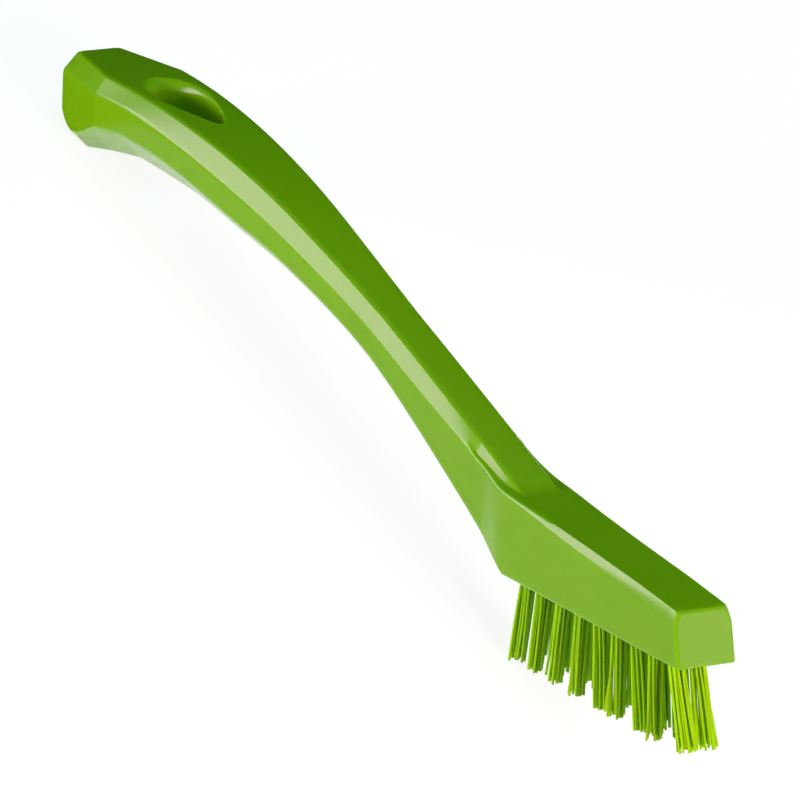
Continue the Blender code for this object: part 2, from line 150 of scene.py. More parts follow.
# Where the first full cross section lies, how far apart they are in each stretch, and how far the close
# ones reach before the handle starts and behind the head
FIRST_SECTION = 0.0007
LEAN_STEP = 0.002
HEAD_STEP = 0.003
FINE_STEP = 0.0006
GRIP_STEP = 0.0012
TAPER_BREAK = 0.0002
HEEL_STEP = 0.0009
BEFORE_HANDLE = 0.004
BEHIND_HEAD = 0.012
STEP_TOLERANCE = 1e-6

# Rings in the rounded ends of the moulding, the turn between two of them at the head's end as a share
# of a right angle, and how much of that end's rounding its lower edge gets
HEAD_END_RINGS = 6
HEAD_END_TURN = 0.16
HEAD_END_LOWER_SHARE = 0.4
HEEL_RINGS = 10
TAIL_EDGE_RINGS = 5

# Edges sharper than this stay sharp, and large faces decide the shading of the roundings beside them
MOULDING_SHARP_ANGLE = math.radians(40.0)
FACET_WEIGHT = 60

# Hanging hole
HOLE_LENGTH = 0.0275
HOLE_HALF_WIDTH = 0.0052
HOLE_EGG = 0.43
HOLE_FROM_TAIL = 0.0180
HOLE_POINTS = 72

# Lip of the hanging hole: its width along the sides and at the tail as shares of the lip radius, how
# closely the wide stretch gathers at the tail, how far it opens in degrees, and how far its cutter goes on
LIP_SIDE_SHARE = 0.22
LIP_TAIL_SHARE = 1.9
LIP_GATHER = 3
LIP_OPENING = 64.0
LIP_STEPS = 8
LIP_OVERSHOOT = 1.46

# Lip under the grip: the turns of its rings in degrees, and how far its cutter goes on
FOOT_TURNS = (0.0, 15.0, 30.0, 45.0, 60.0)
FOOT_OVERSHOOT = 1.9

# Rows of tufts
ROW_SPACING = 0.0039
TUFTS_PER_ROW = 9
FIRST_TUFT = 0.0065
LAST_TUFT_MARGIN = 0.0023
TUFT_PITCH = (HEAD_LENGTH - FIRST_TUFT - LAST_TUFT_MARGIN) / (TUFTS_PER_ROW - 1)
TUFT_HOLE_SIDES = 32
TUFT_CUTTER_REACH = 0.002

# How far each tuft stands ahead of its even place, how far its tips lean forward and how much it
# widens, from the front of the head to the rear
NEAR_TUFTS = (
    (0.0002, 0.0052, 1.65),
    (0.0002, 0.0010, 1.20),
    (0.0003, 0.0024, 1.25),
    (0.0002, 0.0004, 1.20),
    (0.0002, 0.0011, 1.22),
    (0.0002, -0.0006, 1.20),
    (0.0, -0.0019, 1.20),
    (-0.0006, -0.0017, 1.20),
    (0.0, -0.0027, 1.22),
)
FAR_TUFTS = (
    (0.0002, 0.0042, 1.80),
    (0.0004, 0.0030, 1.50),
    (0.0006, 0.0018, 1.45),
    (0.0006, 0.0014, 1.45),
    (0.0006, 0.0008, 1.45),
    (0.0006, 0.0, 1.45),
    (0.0005, -0.0004, 1.40),
    (0.0003, -0.0014, 1.40),
    (0.0, -0.0024, 1.40),
)

# Underside of the innermost folds above the holes' mouths, where it clears the anchors, and half the
# thickness of the anchors' wire
FOLD_UNDERSIDE = 0.0049
ANCHOR_HALF_THICKNESS = 0.000175

# Filaments on one side of an anchor, row by row, and how closely two rows nest in one another
BUNDLE_ROWS = (5, 4, 1)
ROW_NESTING = math.sqrt(0.75)

# Steps of a filament: the sides of its tube, the steps of its fold, and the points along a leg
FILAMENT_SIDES = 6
FOLD_STEPS = 6
LEG_SHARES = (0.0, 0.33, 0.66, 1.0)
FILAMENT_SHARP_ANGLE = math.radians(70.0)

# How filaments differ: few are much shorter than the rest, tips gather a little across the row and
# scatter, legs bow, and now and then one splays along the row
TUFT_SEED = 41
SHORTENING_POWER = 1.6
TIP_GATHER = 0.0002
TIP_NARROWING = 0.95
TIP_SCATTER = 0.00022
LEG_BOW = 0.00016
SPLAY_CHANCE = 0.04
SPLAY_REACH = 0.0008

# A filament that would reach the floor is cut off this share of its radius above it
FLOOR_GAP_SHARE = 0.6

# One filament of each of these tufts stands out sideways by this much at its tip
STRAYS = {"right_2": -0.0011, "right_4": -0.0017, "right_6": -0.0013, "left_1": 0.0021}
STRAY_FILAMENT = 2

# Range that the values of a noise texture mostly keep to
NOISE_LOW = 0.2
NOISE_HIGH = 0.8

# How far off the lamps for the colours and those for the reflections stand, how high above the floor
# the point is that they face, and how strong the world's light is
LAMP_DISTANCE = 1.1
REFLECTION_DISTANCE = 0.7
AIM_HEIGHT = 0.02
WORLD_STRENGTH = 0.08
WHITE = (1.0, 1.0, 1.0, 1.0)

# Floor: its size, its grey under the lamps, and its grey and glow to the camera and in reflections
FLOOR_RADIUS = 6.0
PAPER_GREY = 0.85
SHOWN_GREY = 0.25
SHOWN_GLOW = 0.87

# Height of the cards just above the floor, and where the card behind the brush stands and how it turns
CARD_HEIGHT = 0.0006
BEHIND_PLACE = (-0.306, 0.707, 0.384)
BEHIND_NORMAL = (-0.90, 0.44, -1.2)

# The photograph's camera in the brush's own drawing
CAMERA_PLACE = (0.98473, -0.63679, 0.38432)
CAMERA_RIGHT = (0.4961, 0.8672, 0.0427)
CAMERA_AHEAD = (-0.8269, 0.4869, -0.2815)
FOCAL_PIXELS = 8011.28
PHOTO_PIXELS = 800.0
SENSOR_WIDTH = 36.0


class BrushSizes(bpy.types.PropertyGroup):
    """Sizes of the details that the visual model adds to the solids."""

    corner_rounding: bpy.props.FloatProperty(
        name="Corner rounding",
        description="How far the rounding of the moulding's long corners reaches from each corner",
        default=0.0006,
        min=0.0001,
        max=0.002,
        subtype="DISTANCE",
        unit="LENGTH",
    )
    head_edge_rounding: bpy.props.FloatProperty(
        name="Head edge rounding",
        description="How far the rounding of the head's upper edges reaches over its top, at its front",
        default=0.0013,
        min=0.0002,
        max=0.003,
        subtype="DISTANCE",
        unit="LENGTH",
    )
    head_side_rounding: bpy.props.FloatProperty(
        name="Head side rounding",
        description="How far the rounding of the head's upper edges reaches down its sides, at its front",
        default=0.0026,
        min=0.0002,
        max=0.004,
        subtype="DISTANCE",
        unit="LENGTH",
    )
    head_end_radius: bpy.props.FloatProperty(
        name="Head end radius",
        description="Radius of the edges round the front face of the head",
        default=0.0007,
        min=0.0002,
        max=0.0015,
        subtype="DISTANCE",
        unit="LENGTH",
    )
    hole_lip_radius: bpy.props.FloatProperty(
        name="Hole lip radius",
        description="Radius of the soft lip where the hanging hole opens in the top of the grip",
        default=0.0022,
        min=0.0004,
        max=0.0025,
        subtype="DISTANCE",
        unit="LENGTH",
    )
    hole_foot_radius: bpy.props.FloatProperty(
        name="Hole foot radius",
        description="Radius of the lip where the hanging hole opens under the grip",
        default=0.0008,
        min=0.0002,
        max=0.002,
        subtype="DISTANCE",
        unit="LENGTH",
    )
    tuft_hole_diameter: bpy.props.FloatProperty(
        name="Tuft hole diameter",
        description="Diameter of the blind holes that the tufts are set in",
        default=0.0030,
        min=0.001,
        max=0.004,
        subtype="DISTANCE",
        unit="LENGTH",
    )
    tuft_hole_depth: bpy.props.FloatProperty(
        name="Tuft hole depth",
        description="Depth of the blind holes that the tufts are set in",
        default=0.0063,
        min=0.002,
        max=0.007,
        subtype="DISTANCE",
        unit="LENGTH",
    )
    filament_diameter: bpy.props.FloatProperty(
        name="Filament diameter",
        description="Diameter of one bristle filament",
        default=0.00048,
        min=0.0001,
        max=0.0008,
        subtype="DISTANCE",
        unit="LENGTH",
    )
    bristle_reach: bpy.props.FloatProperty(
        name="Bristle reach",
        description="How far the longest filaments reach below the head",
        default=0.015,
        min=0.005,
        max=0.02,
        subtype="DISTANCE",
        unit="LENGTH",
    )
    tip_unevenness: bpy.props.FloatProperty(
        name="Tip unevenness",
        description="How much shorter than the longest filament the shortest ones are",
        default=0.0013,
        min=0.0,
        max=0.004,
        subtype="DISTANCE",
        unit="LENGTH",
    )


class BrushColours(bpy.types.PropertyGroup):
    """Colours of the brush's materials."""

    moulding: bpy.props.FloatVectorProperty(
        name="Moulding",
        description="Colour of the moulded handle and head",
        default=(0.225, 0.48, 0.002),
        min=0.0,
        max=1.0,
        size=3,
        subtype="COLOR",
    )
    filament: bpy.props.FloatVectorProperty(
        name="Filament",
        description="Colour of the bristle filaments",
        default=(0.42, 0.74, 0.001),
        min=0.0,
        max=1.0,
        size=3,
        subtype="COLOR",
    )
    steel: bpy.props.FloatVectorProperty(
        name="Steel",
        description="Colour of the anchors' wire",
        default=(0.62, 0.61, 0.58),
        min=0.0,
        max=1.0,
        size=3,
        subtype="COLOR",
    )


def smoothstep(value):
    """Ease from 0 to 1 with level ends."""
    value = min(max(value, 0.0), 1.0)
    return value * value * (3.0 - 2.0 * value)


def blend_max(first, second, width):
    """The larger of two heights, with a fillet where they cross."""
    share = max(width - abs(first - second), 0.0) / width
    return max(first, second) + share * share * width / 4.0


def blend_min(first, second, width):
    """The smaller of two heights, with a fillet where they cross."""
    return -blend_max(-first, -second, width)


def head_top(back):
    """Height of the head's flat top at a distance back from the front edge."""
    return HEAD_FRONT_HEIGHT + math.tan(HEAD_TOP_ANGLE) * back


def top_line(back):
    """Height and slope of the handle's top line at a distance back from the front edge."""
    run = back - HANDLE_MEET
    height = head_top(HANDLE_MEET)
    slope = HANDLE_RISE_ANGLE
    if run <= 0.0:
        return height + math.tan(slope) * run, slope
    for radius, end_slope in (
        (HANDLE_ARC_RADIUS, SHOULDER_ANGLE),
        (SHOULDER_ARC_RADIUS, TAIL_ANGLE),
    ):
        length = radius * (math.sin(slope) - math.sin(end_slope))
        here = min(run, length)
        turned = math.asin(math.sin(slope) - here / radius)
        height += radius * (math.cos(turned) - math.cos(slope))
        slope = turned
        run -= here
        if run <= 0.0:
            return height, slope
    return height + math.tan(slope) * run, slope


def rest_matrix():
    """How the brush lies on the floor, from the record's mount on the flat top of the head."""
    mount = next(item for item in frame["record"]["mounts"] if item["name"] == "head_top")
    axis = Vector(mount["axis"])
    pitch = HEAD_TOP_ANGLE - math.atan2(axis.x, axis.z)
    turn = Matrix.Rotation(-pitch, 4, "Y")
    drawn = Vector((-MOUNT_BACK, 0.0, head_top(MOUNT_BACK)))
    return Matrix.Translation(Vector(mount["pos_m"]) - turn @ drawn) @ turn


REST = rest_matrix()


def grip_share(back):
    """How far the handle has swelled from neck to grip, 0 to 1."""
    end = LENGTH - TAIL_TAPER_LENGTH
    return min(max((back - GRIP_START) / (end - GRIP_START), 0.0), 1.0)


def tail_share(back):
    """How far along the tail's taper a section lies, 0 to 1."""
    return min(max((back - (LENGTH - TAIL_TAPER_LENGTH)) / TAIL_TAPER_LENGTH, 0.0), 1.0)


def side_half_width(back):
    """Half width over the side faces."""
    if back < HEAD_LENGTH:
        share = back / HEAD_LENGTH
        return (HEAD_FRONT_WIDTH + (HEAD_REAR_WIDTH - HEAD_FRONT_WIDTH) * share) / 2.0
    neck_share = smoothstep((back - HEAD_LENGTH) / NECK_IN_LENGTH)
    neck = HEAD_REAR_WIDTH + (NECK_WIDTH - HEAD_REAR_WIDTH) * neck_share
    width = neck + (GRIP_WIDTH - neck) * smoothstep(grip_share(back) ** GRIP_SWELL)
    return (width + (TAIL_END_WIDTH - width) * tail_share(back)) / 2.0


def top_half_width(back):
    """Half width of the top face."""
    share = grip_share(back)
    share = TOP_TAPER_SHARE * share + (1.0 - TOP_TAPER_SHARE) * smoothstep(share)
    width = NECK_TOP_WIDTH + (GRIP_TOP_WIDTH - NECK_TOP_WIDTH) * share
    return (width + (TAIL_END_TOP_WIDTH - width) * tail_share(back)) / 2.0


def upper_chamfer(back):
    """Height of the upper chamfer, square to the top line."""
    middle = smoothstep((back - GRIP_START) / (CHAMFER_MIDDLE - GRIP_START))
    height = NECK_CHAMFER + (MIDDLE_CHAMFER - NECK_CHAMFER) * middle
    rear = smoothstep((back - CHAMFER_MIDDLE) / (LENGTH - TAIL_TAPER_LENGTH - CHAMFER_MIDDLE))
    height += (GRIP_CHAMFER - MIDDLE_CHAMFER) * rear
    flare = (back - CHAMFER_FLARES) / (LENGTH - TAIL_TAPER_LENGTH - CHAMFER_FLARES)
    height += CHAMFER_FLARE * min(max(flare, 0.0), 1.0)
    return height + (TAIL_END_CHAMFER - height) * tail_share(back)


def grip_depth(back):
    """Depth of the handle below its top line, square to that line."""
    share = smoothstep((back - GRIP_DEEPENS) / (GRIP_DEEPEST - GRIP_DEEPENS))
    depth = NECK_DEPTH + (GRIP_DEPTH - NECK_DEPTH) * share
    heel = (back - (LENGTH - HEEL_START)) / (HEEL_START - HEEL_REACH)
    return depth + HEEL_DROP * min(max(heel, 0.0), 1.0)


def lower_chamfer(back):
    """Height of the lower chamfer, square to the top line."""
    if back <= HEAD_LENGTH:
        return HEAD_LOWER_EDGE
    opening = smoothstep((back - HEAD_LENGTH) / (GRIP_START - HEAD_LENGTH))
    neck = HEAD_LOWER_EDGE + (NECK_LOWER_CHAMFER - HEAD_LOWER_EDGE) * opening
    run = LOWER_CHAMFER_WIDEST - LOWER_CHAMFER_WIDENS
    share = smoothstep((back - LOWER_CHAMFER_WIDENS) / run)
    grip = neck + (GRIP_LOWER_CHAMFER - NECK_LOWER_CHAMFER) * share
    taper = (back - (LENGTH - TAIL_TAPER_LENGTH)) / (TAIL_TAPER_LENGTH - HEEL_REACH)
    return grip + (TAIL_LOWER_CHAMFER - grip) * min(max(taper, 0.0), 1.0)


def heel_curve(back, height, reach):
    """Height of a lower edge where it rounds up into the end face, over the given reach."""
    run = back - (LENGTH - reach)
    if run <= 0.0:
        return height
    level = top_line(LENGTH - HEEL_RISE)[0] - GRIP_DEPTH - HEEL_DROP + HEEL_RISE
    lift = 1.0 - math.sqrt(max(1.0 - (run / reach) ** 2, 0.0))
    return height + (level - height) * lift


def corners(back, sizes):
    """Corners of the right half of a cross section, from the top face down to the bottom face.

    Each is half width, height, how far its rounding reaches before and after it, and how full that
    rounding is, from 0 for a flat facet to 1. The second lies on the upper chamfer, where the handle
    runs down into the flat top of the head.
    """
    line, slope = top_line(back)
    steep = math.cos(slope)
    half = side_half_width(back)
    top_half = top_half_width(back)
    width = half - top_half
    ridge = blend_max(line, head_top(back), TOP_BLEND)

    chamfer = upper_chamfer(back)
    shoulder = head_top(SHOULDER_TOP_START)
    shoulder += math.tan(SHOULDER_TOP_ANGLE) * (back - SHOULDER_TOP_START)
    block = blend_max(head_top(back), shoulder, TOP_BLEND)
    edge = line - chamfer / steep
    if back < GRIP_START:
        edge = min(blend_max(edge, block, EDGE_BLEND), ridge)

    reach = (ridge - edge) * steep * width / chamfer
    inner = min(max(reach, CREASE_LOW_SHARE * width), CREASE_HIGH_SHARE * width)
    crease = edge
    if reach > CREASE_HIGH_SHARE * width:
        crease = ridge - inner * (ridge - edge) / width
    if reach < CREASE_LOW_SHARE * width:
        crease = min(edge, ridge)

    lower = lower_chamfer(back)
    underside = line - grip_depth(back) / steep
    side_foot = underside + lower / steep
    if back <= HEAD_LENGTH:
        side_foot = HEAD_LOWER_EDGE
        underside = 0.0
    else:
        rising = HEAD_LOWER_EDGE + math.tan(UNDERSIDE_ANGLE) * (back - HEAD_LENGTH)
        side_foot = blend_min(side_foot, rising, UNDERSIDE_BLEND)
        underside = side_foot - lower / steep
    underside = heel_curve(back, underside, HEEL_REACH)
    side_foot = heel_curve(back, side_foot, SIDE_HEEL_SHARE * HEEL_REACH)

    forward = 1.0 - min(back / HEAD_LENGTH, 1.0)
    small = sizes.corner_rounding
    over = small + (sizes.head_edge_rounding - small) * forward
    beside = SIDE_ROUNDING * small
    beside += (sizes.head_side_rounding - SIDE_ROUNDING * small) * forward
    on_handle = smoothstep((back - HANDLE_MEET) / TOP_ROUNDING_RUN)
    top = HEAD_TOP_ROUNDING * small + HANDLE_TOP_ROUNDING * small * on_handle
    soft = CREASE_ROUNDING * small
    full = 1.0 - FACET_FLATNESS * smoothstep(FACET_ONSET * forward)
    foot = min(small, lower)
    return [
        (top_half, ridge, top, BELOW_TOP_ROUNDING * small, 1.0),
        (top_half + inner, crease, soft, soft, 1.0),
        (half, edge, over, beside, full),
        (half, side_foot, foot, foot, 1.0),
        (half - min(lower, LOWER_CHAMFER_LIMIT * half), underside, foot, foot, 1.0),
    ]


def half_outline(points):
    """The right half of a section, each of its corners turned by a curve."""
    chain = [Vector((0.0, points[0][1]))]
    chain += [Vector(point[:2]) for point in points]
    chain.append(Vector((0.0, points[-1][1])))
    outline = [chain[0]]
    for index in range(1, len(chain) - 1):
        here = chain[index]
        before = chain[index - 1] - here
        after = chain[index + 1] - here
        first = min(points[index - 1][2], ROUNDING_LIMIT * before.length)
        last = min(points[index - 1][3], ROUNDING_LIMIT * after.length)
        start = here + before.normalized() * first
        end = here + after.normalized() * last
        pull = start.lerp(end, 0.5).lerp(here, points[index - 1][4])
        for step in range(ROUNDING_STEPS + 1):
            share = step / ROUNDING_STEPS
            outline.append(
                start * (1.0 - share) ** 2 + pull * 2.0 * share * (1.0 - share) + end * share ** 2
            )
    outline.append(chain[-1])
    return outline


def section(back, sizes, inset=0.0, lower_share=1.0):
    """One closed cross section as points in space, drawn in by an inset for a rounded end.

    The lower share is how much of that inset its lower edge gets.
    """
    half = half_outline(corners(back, sizes))
    low = half[-1].y
    high = half[0].y
    wide = max(point.x for point in half)
    kept = (high - low - inset * (1.0 + lower_share)) / (high - low)
    narrow = (wide - inset) / wide
    half = [
        Vector((point.x * narrow, low + inset * lower_share + (point.y - low) * kept)) for point in half
    ]
    loop = [(point.x, point.y) for point in half]
    loop += [(-point.x, point.y) for point in reversed(half[1:-1])]
    lean = math.tan(HEAD_END_LEAN) * (1.0 - min(back / HEAD_END_ZONE, 1.0))
    return [Vector((-back - lean * up, across, up)) for across, up in loop]


def stations():
    """Distances back from the front edge at which the moulding's cross sections are drawn."""
    taper = LENGTH - TAIL_TAPER_LENGTH
    start = FIRST_SECTION
    places = [start]
    for end, step in (
        (HEAD_END_ZONE, LEAN_STEP),
        (HANDLE_MEET - BEFORE_HANDLE, HEAD_STEP),
        (HEAD_LENGTH, FINE_STEP),
        (HEAD_LENGTH + BEHIND_HEAD, FINE_STEP),
        (GRIP_START, GRIP_STEP),
        (CHAMFER_FLARES, GRIP_STEP),
        (taper - TAPER_BREAK, GRIP_STEP),
        (taper + TAPER_BREAK, TAPER_BREAK),
        (LENGTH - HEEL_REACH, HEEL_STEP),
    ):
        count = max(int(math.ceil((end - start) / step - STEP_TOLERANCE)), 1)
        places += [start + (end - start) * number / count for number in range(1, count + 1)]
        start = end
    for number in range(1, HEEL_RINGS + 1):
        turn = number / HEEL_RINGS * math.pi / 2.0
        reach = (HEEL_REACH - TAIL_EDGE_RADIUS) * math.sin(turn)
        places.append(LENGTH - HEEL_REACH + reach)
    return places


def skin(work, rings):
    """Bridge closed loops of points into one capped body."""
    loops = []
    for points in rings:
        made = bmesh.ops.create_circle(work, cap_ends=False, radius=1.0, segments=len(points))["verts"]
        for vert, point in zip(made, points):
            vert.co = point
        loops.append(list({edge for vert in made for edge in vert.link_edges}))
    for first, second in zip(loops, loops[1:]):
        bmesh.ops.bridge_loops(work, edges=first + second)
    caps = []
    for loop in (loops[0], loops[-1]):
        caps += bmesh.ops.contextual_create(work, geom=loop)["faces"]
    bmesh.ops.poke(work, faces=caps)
    bmesh.ops.recalc_face_normals(work, faces=work.faces)


def finished(name, work, surface=None, matrix=None):
    """Turn a bmesh into an object at the origin, with its place in its mesh."""
    mesh = bpy.data.meshes.new(name)
    if matrix is not None:
        bmesh.ops.transform(work, matrix=matrix, verts=work.verts)
    work.to_mesh(mesh)
    work.free()
    if surface is not None:
        mesh.materials.append(surface)
    item = bpy.data.objects.new(name, mesh)
    bpy.context.scene.collection.objects.link(item)
    return item


def cut(item, cutter):
    """Cut one object with another and remove the cutter."""
    step = item.modifiers.new("cut", "BOOLEAN")
    step.operation = "DIFFERENCE"
    step.solver = "EXACT"
    step.object = cutter
    bpy.context.view_layer.update()
    graph = bpy.context.evaluated_depsgraph_get()
    mesh = bpy.data.meshes.new_from_object(item.evaluated_get(graph))
    item.modifiers.clear()
    item.data = mesh
    bpy.data.objects.remove(cutter)


def egg(margin, level, lip):
    """One ring of the hanging hole's cutter, drawn in by a share of the lip and set at a level.

    The lip is narrow along the sides and widens toward the tail. Margin is a share of its width there,
    and level a share of that width or of the lip radius, whichever is smaller.
    """
    ring = []
    for number in range(HOLE_POINTS):
        turn = 2.0 * math.pi * number / HOLE_POINTS
        toward_tail = ((1.0 - math.cos(turn)) / 2.0) ** LIP_GATHER
        wide = lip * (LIP_SIDE_SHARE + (LIP_TAIL_SHARE - LIP_SIDE_SHARE) * toward_tail)
        inset = margin * wide
        along = (HOLE_LENGTH / 2.0 - inset) * math.cos(turn)
        across = (HOLE_HALF_WIDTH - inset) * math.sin(turn) * (1.0 - HOLE_EGG * math.cos(turn))
        ring.append((along, across, level * min(wide, lip)))
    return ring


def widened(ring, margin, level):
    """A ring of the same outline, let out by a margin and laid flat at a level."""
    points = []
    for along, across, _ in ring:
        reach = math.hypot(along, across)
        points.append((along * (1.0 + margin / reach), across * (1.0 + margin / reach), level))
    return points


def hole_cutter(sizes):
    """Cutter for the hanging hole, with a soft lip at the top and a small one below."""
    back = LENGTH - HOLE_FROM_TAIL - HOLE_LENGTH / 2.0
    height, slope = top_line(back)
    depth = (height - corners(back, sizes)[-1][1]) * math.cos(slope)
    lip = sizes.hole_lip_radius
    foot = sizes.hole_foot_radius
    rings = [egg(-LIP_OVERSHOOT, 1.0, lip)]
    for number in range(LIP_STEPS + 1):
        angle = math.radians(LIP_OPENING * (1.0 - number / LIP_STEPS))
        rings.append(egg(math.cos(angle), math.sin(angle) - 1.0, lip))
    bore = rings[-1]
    for turn in FOOT_TURNS:
        angle = math.radians(turn)
        level = foot * (1.0 - math.sin(angle)) - depth
        rings.append(widened(bore, foot * (1.0 - math.cos(angle)), level))
    rings.append(widened(bore, FOOT_OVERSHOOT * foot, -depth - foot))
    work = bmesh.new()
    skin(work, rings)
    matrix = Matrix.Translation((-back, 0.0, height)) @ Matrix.Rotation(slope, 4, "Y")
    return finished("hole_cutter", work, matrix=REST @ matrix)


def tuft_rows():
    """Name, mouth, lean of the tips and spread of every tuft."""
    rows = []
    for side, sign, row in (("right", -1.0, NEAR_TUFTS), ("left", 1.0, FAR_TUFTS)):
        for number, (ahead, drift, spread) in enumerate(row, start=1):
            along = ahead - FIRST_TUFT - TUFT_PITCH * (number - 1)
            mouth = Vector((along, sign * ROW_SPACING / 2.0, 0.0))
            rows.append((f"{side}_{number}", mouth, drift, spread))
    return rows


def tuft_matrix(mouth, drift, reach):
    """Frame of one tuft: origin at its hole's mouth, Z up into the block."""
    return Matrix.Translation(mouth) @ Matrix.Rotation(-math.atan2(drift, reach), 4, "Y")


def socket_cutter(sizes):
    """Cutter for the blind holes that the tufts are set in."""
    work = bmesh.new()
    radius = sizes.tuft_hole_diameter / 2.0
    middle = sizes.tuft_hole_depth / 2.0 - TUFT_CUTTER_REACH / 2.0
    for _, mouth, drift, _ in tuft_rows():
        made = bmesh.ops.create_cone(
            work,
            cap_ends=True,
            segments=TUFT_HOLE_SIDES,
            radius1=radius,
            radius2=radius,
            depth=sizes.tuft_hole_depth + TUFT_CUTTER_REACH,
        )["verts"]
        matrix = tuft_matrix(mouth, drift, sizes.bristle_reach)
        matrix = matrix @ Matrix.Translation((0.0, 0.0, middle))
        bmesh.ops.transform(work, matrix=matrix, verts=made)
    return finished("socket_cutter", work, matrix=REST)


def node(tree, kind, **values):
    """Add a shader node and set its inputs by name."""
    made = tree.nodes.new(kind)
    for name, value in values.items():
        made.inputs[name.replace("_", " ")].default_value = value
    return made


def shader_start(name):
    """A new material with its tree and Principled shader."""
    surface = bpy.data.materials.new(name)
    surface.use_nodes = True
    return surface, surface.node_tree, surface.node_tree.nodes["Principled BSDF"]


def mottled(tree, colour, coords, scale, amount):
    """A colour that varies a little in lightness over the surface."""
    noise = node(tree, "ShaderNodeTexNoise", Scale=scale, Detail=2.0, Roughness=0.4)
    tree.links.new(coords, noise.inputs["Vector"])
    ramp = tree.nodes.new("ShaderNodeValToRGB")
    ramp.color_ramp.interpolation = "EASE"
    ramp.color_ramp.elements[0].position = NOISE_LOW
    ramp.color_ramp.elements[1].position = NOISE_HIGH
    ramp.color_ramp.elements[0].color = (*[value * (1.0 - amount) for value in colour], 1.0)
    ramp.color_ramp.elements[1].color = (*[value * (1.0 + amount) for value in colour], 1.0)
    tree.links.new(noise.outputs["Fac"], ramp.inputs["Fac"])
    return ramp.outputs["Color"]


def ranged(tree, coords, scale, low, high):
    """A value that wanders between two limits over the surface."""
    noise = node(tree, "ShaderNodeTexNoise", Scale=scale, Detail=2.0, Roughness=0.4)
    tree.links.new(coords, noise.inputs["Vector"])
    spread = tree.nodes.new("ShaderNodeMapRange")
    spread.interpolation_type = "SMOOTHSTEP"
    spread.inputs["From Min"].default_value = NOISE_LOW
    spread.inputs["From Max"].default_value = NOISE_HIGH
    spread.inputs["To Min"].default_value = low
    spread.inputs["To Max"].default_value = high
    tree.links.new(noise.outputs["Fac"], spread.inputs["Value"])
    return spread.outputs["Result"]


def moulded_plastic(colours):
    """Glossy moulded polypropylene, with a faint flow mottle and a soft skin."""
    surface, tree, shader = shader_start("moulded_polypropylene")
    coords = tree.nodes.new("ShaderNodeTexCoord").outputs["Object"]
    colour = mottled(tree, colours.moulding, coords, scale=60.0, amount=0.02)
    tree.links.new(colour, shader.inputs["Base Color"])
    gloss = ranged(tree, coords, scale=140.0, low=0.19, high=0.24)
    tree.links.new(gloss, shader.inputs["Roughness"])
    grain = node(tree, "ShaderNodeTexNoise", Scale=500.0, Detail=1.0, Roughness=0.4)
    tree.links.new(coords, grain.inputs["Vector"])
    bump = node(tree, "ShaderNodeBump", Strength=0.08, Distance=0.00002)
    tree.links.new(grain.outputs["Fac"], bump.inputs["Height"])
    tree.links.new(bump.outputs["Normal"], shader.inputs["Normal"])
    shader.inputs["IOR"].default_value = 1.49
    shader.inputs["Specular IOR Level"].default_value = 0.5
    shader.inputs["Subsurface Weight"].default_value = 0.5
    shader.inputs["Subsurface Radius"].default_value = (0.45, 1.0, 0.1)
    shader.inputs["Subsurface Scale"].default_value = 0.0022
    return surface


def filament_plastic(colours):
    """Drawn polyester filament, a little translucent, streaked along its length."""
    surface, tree, shader = shader_start("drawn_filament")
    coords = tree.nodes.new("ShaderNodeTexCoord").outputs["Object"]
    streaks = tree.nodes.new("ShaderNodeMapping")
    streaks.inputs["Scale"].default_value = (1.0, 1.0, 0.08)
    tree.links.new(coords, streaks.inputs["Vector"])
    colour = mottled(tree, colours.filament, streaks.outputs["Vector"], scale=900.0, amount=0.05)
    tree.links.new(colour, shader.inputs["Base Color"])
    gloss = ranged(tree, coords, scale=700.0, low=0.36, high=0.44)
    tree.links.new(gloss, shader.inputs["Roughness"])
    shader.inputs["IOR"].default_value = 1.5
    shader.inputs["Specular IOR Level"].default_value = 0.3
    shader.inputs["Subsurface Weight"].default_value = 0.35
    shader.inputs["Subsurface Radius"].default_value = (0.7, 1.0, 0.1)
    shader.inputs["Subsurface Scale"].default_value = 0.0008
    return surface


def wire_steel(colours):
    """Flat stainless wire with the fine lines of rolling."""
    surface, tree, shader = shader_start("rolled_wire")
    coords = tree.nodes.new("ShaderNodeTexCoord").outputs["Object"]
    lines = tree.nodes.new("ShaderNodeMapping")
    lines.inputs["Scale"].default_value = (0.1, 1.0, 1.0)
    tree.links.new(coords, lines.inputs["Vector"])
    colour = mottled(tree, colours.steel, lines.outputs["Vector"], scale=9000.0, amount=0.08)
    tree.links.new(colour, shader.inputs["Base Color"])
    gloss = ranged(tree, lines.outputs["Vector"], scale=9000.0, low=0.24, high=0.38)
    tree.links.new(gloss, shader.inputs["Roughness"])
    shader.inputs["Metallic"].default_value = 1.0
    return surface


def moulding_rings(sizes):
    """Cross sections of the whole moulding, from its front face to the end of its tail."""
    radius = sizes.head_end_radius
    rings = []
    for number in range(HEAD_END_RINGS):
        turn = math.pi / 2.0 * (1.0 - HEAD_END_TURN * number)
        inset = radius * (1.0 - math.cos(turn))
        back = radius * (1.0 - math.sin(turn))
        rings.append(section(back, sizes, inset, HEAD_END_LOWER_SHARE))
    places = stations()
    rings += [section(back, sizes) for back in places[1:]]
    for number in range(1, TAIL_EDGE_RINGS + 1):
        turn = number / TAIL_EDGE_RINGS * math.pi / 2.0
        inset = TAIL_EDGE_RADIUS * (1.0 - math.cos(turn))
        reach = TAIL_EDGE_RADIUS * math.sin(turn)
        points = section(places[-1], sizes, inset)
        rings.append([Vector((point.x - reach, point.y, point.z)) for point in points])
    return rings


